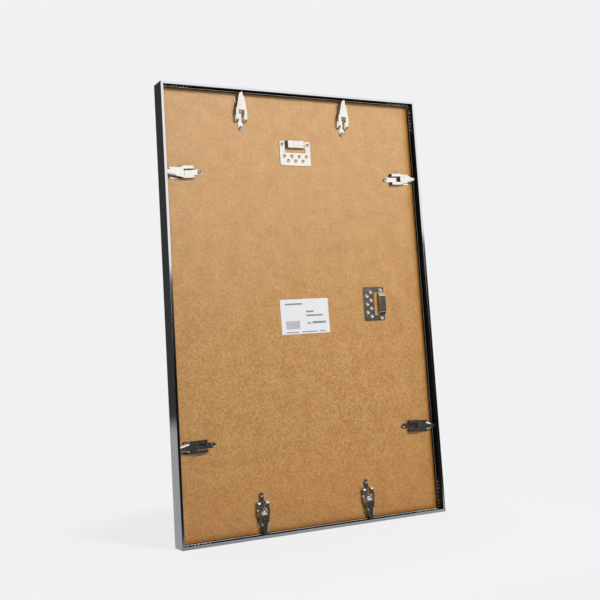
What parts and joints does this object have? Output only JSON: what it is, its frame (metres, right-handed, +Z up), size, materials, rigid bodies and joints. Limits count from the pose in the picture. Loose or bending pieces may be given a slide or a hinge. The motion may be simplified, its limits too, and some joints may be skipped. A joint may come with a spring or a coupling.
{
  "type": "poster frame",
  "caption": "Mitred aluminium poster frame with a glazed front, a hardboard back held by riveted turn clips, and strap hangers for upright or sideways hanging.",
  "frame": {"origin": "under the middle of the frame, at the bottom rail's underside, half way through its depth", "axes": "+Z up along the frame's height, -Y out of the picture side, +Y out of the back, +X to the right as seen from the picture side"},
  "size_m": [0.4164, 0.026, 0.6196],
  "materials": {
    "polished_aluminium": "polished",
    "plated_steel": "nickel plated",
    "zinc_steel": "zinc plated",
    "hardboard": "raw fibreboard",
    "label_paper": "matt",
    "insert_paper": "matt",
    "acrylic": "clear"
  },
  "bodies": {
    "frame": {"rail_top": "polished_aluminium", "rail_bottom": "polished_aluminium", "rail_left": "polished_aluminium", "rail_right": "polished_aluminium", "corner_key_top_left": "zinc_steel", "corner_key_top_right": "zinc_steel", "corner_key_bottom_left": "zinc_steel", "corner_key_bottom_right": "zinc_steel", "set_screw_top_left_1": "zinc_steel", "set_screw_top_left_2": "zinc_steel", "set_screw_top_left_3": "zinc_steel", "set_screw_top_left_4": "zinc_steel", "set_screw_top_right_1": "zinc_steel", "set_screw_top_right_2": "zinc_steel", "set_screw_top_right_3": "zinc_steel", "set_screw_top_right_4": "zinc_steel", "set_screw_bottom_left_1": "zinc_steel", "set_screw_bottom_left_2": "zinc_steel", "set_screw_bottom_left_3": "zinc_steel", "set_screw_bottom_left_4": "zinc_steel", "set_screw_bottom_right_1": "zinc_steel", "set_screw_bottom_right_2": "zinc_steel", "set_screw_bottom_right_3": "zinc_steel", "set_screw_bottom_right_4": "zinc_steel", "glazing_sheet": "acrylic", "paper_insert": "insert_paper", "back_board": "hardboard", "label": "label_paper", "hanger_upright": "plated_steel", "hanger_sideways": "plated_steel", "rivet_top_left": "plated_steel", "rivet_top_right": "plated_steel", "rivet_left_upper": "plated_steel", "rivet_left_lower": "plated_steel", "rivet_right_upper": "plated_steel", "rivet_right_lower": "plated_steel", "rivet_bottom_left": "plated_steel", "rivet_bottom_right": "plated_steel"},
    "turn_clip_top_left": {"clip_top_left": "plated_steel"},
    "turn_clip_top_right": {"clip_top_right": "plated_steel"},
    "turn_clip_left_upper": {"clip_left_upper": "plated_steel"},
    "turn_clip_left_lower": {"clip_left_lower": "plated_steel"},
    "turn_clip_right_upper": {"clip_right_upper": "plated_steel"},
    "turn_clip_right_lower": {"clip_right_lower": "plated_steel"},
    "turn_clip_bottom_left": {"clip_bottom_left": "plated_steel"},
    "turn_clip_bottom_right": {"clip_bottom_right": "plated_steel"}
  },
  "joints": [
    {"name": "turn_top_left", "type": "hinge", "parent": "frame", "child": "turn_clip_top_left", "pos_m": [-0.081, 0, 0.5638], "axis": [0, 1, 0], "range_deg": [-90, 90]},
    {"name": "turn_top_right", "type": "hinge", "parent": "frame", "child": "turn_clip_top_right", "pos_m": [0.086, 0, 0.5638], "axis": [0, 1, 0], "range_deg": [-90, 90]},
    {"name": "turn_left_upper", "type": "hinge", "parent": "frame", "child": "turn_clip_left_upper", "pos_m": [-0.1524, 0, 0.4976], "axis": [0, 1, 0], "range_deg": [-90, 90]},
    {"name": "turn_left_lower", "type": "hinge", "parent": "frame", "child": "turn_clip_left_lower", "pos_m": [-0.1524, 0, 0.1283], "axis": [0, 1, 0], "range_deg": [-90, 90]},
    {"name": "turn_right_upper", "type": "hinge", "parent": "frame", "child": "turn_clip_right_upper", "pos_m": [0.1524, 0, 0.4976], "axis": [0, 1, 0], "range_deg": [-90, 90]},
    {"name": "turn_right_lower", "type": "hinge", "parent": "frame", "child": "turn_clip_right_lower", "pos_m": [0.1524, 0, 0.1283], "axis": [0, 1, 0], "range_deg": [-90, 90]},
    {"name": "turn_bottom_left", "type": "hinge", "parent": "frame", "child": "turn_clip_bottom_left", "pos_m": [-0.081, 0, 0.0558], "axis": [0, 1, 0], "range_deg": [-90, 90]},
    {"name": "turn_bottom_right", "type": "hinge", "parent": "frame", "child": "turn_clip_bottom_right", "pos_m": [0.086, 0, 0.0558], "axis": [0, 1, 0], "range_deg": [-90, 90]}
  ]
}
